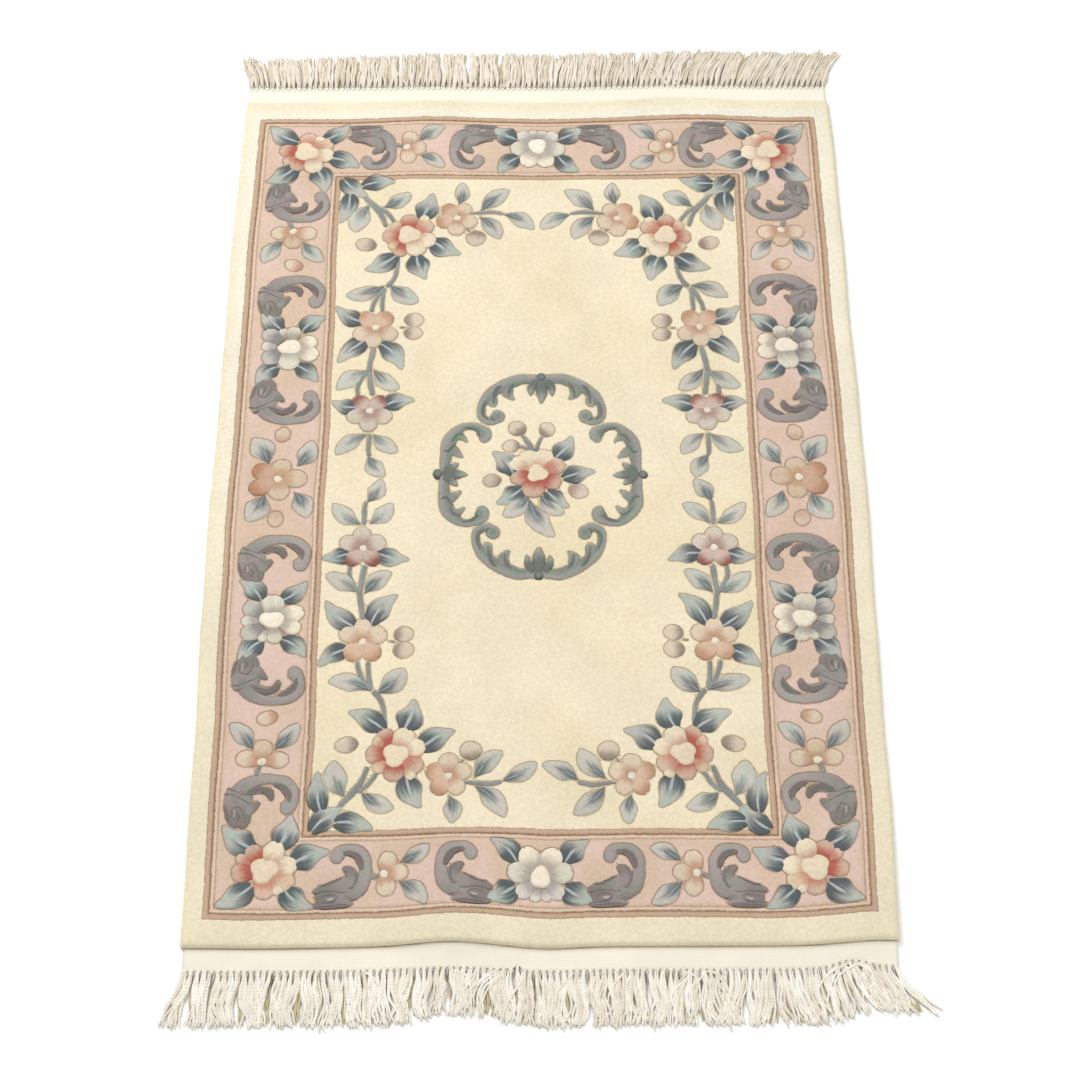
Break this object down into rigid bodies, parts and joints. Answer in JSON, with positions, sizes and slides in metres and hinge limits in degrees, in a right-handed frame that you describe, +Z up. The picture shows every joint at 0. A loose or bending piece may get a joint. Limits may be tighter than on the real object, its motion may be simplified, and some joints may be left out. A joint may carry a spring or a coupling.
{
  "type": "chinese rug",
  "caption": "Rectangular carved wool rug with a floral border and centre medallion, flat-woven end strips and knotted fringes, lying flat.",
  "frame": {"origin": "on the floor under the middle of the pile, at the underside mount", "axes": "+Z up out of the pile, +Y along the rug's length towards its far fringe, +X to the right across its width"},
  "size_m": [1.2626, 2.1134, 0.0207],
  "materials": {
    "wool_pile": "dense cut wool pile with carved outlines, cream with dusty pink band",
    "cotton_warp": "off-white cotton, flat woven at the strip and loosely plied in the fringe"
  },
  "bodies": {
    "root": {"pile": "wool_pile", "fringe_near": "cotton_warp", "fringe_far": "cotton_warp"}
  },
  "joints": []
}
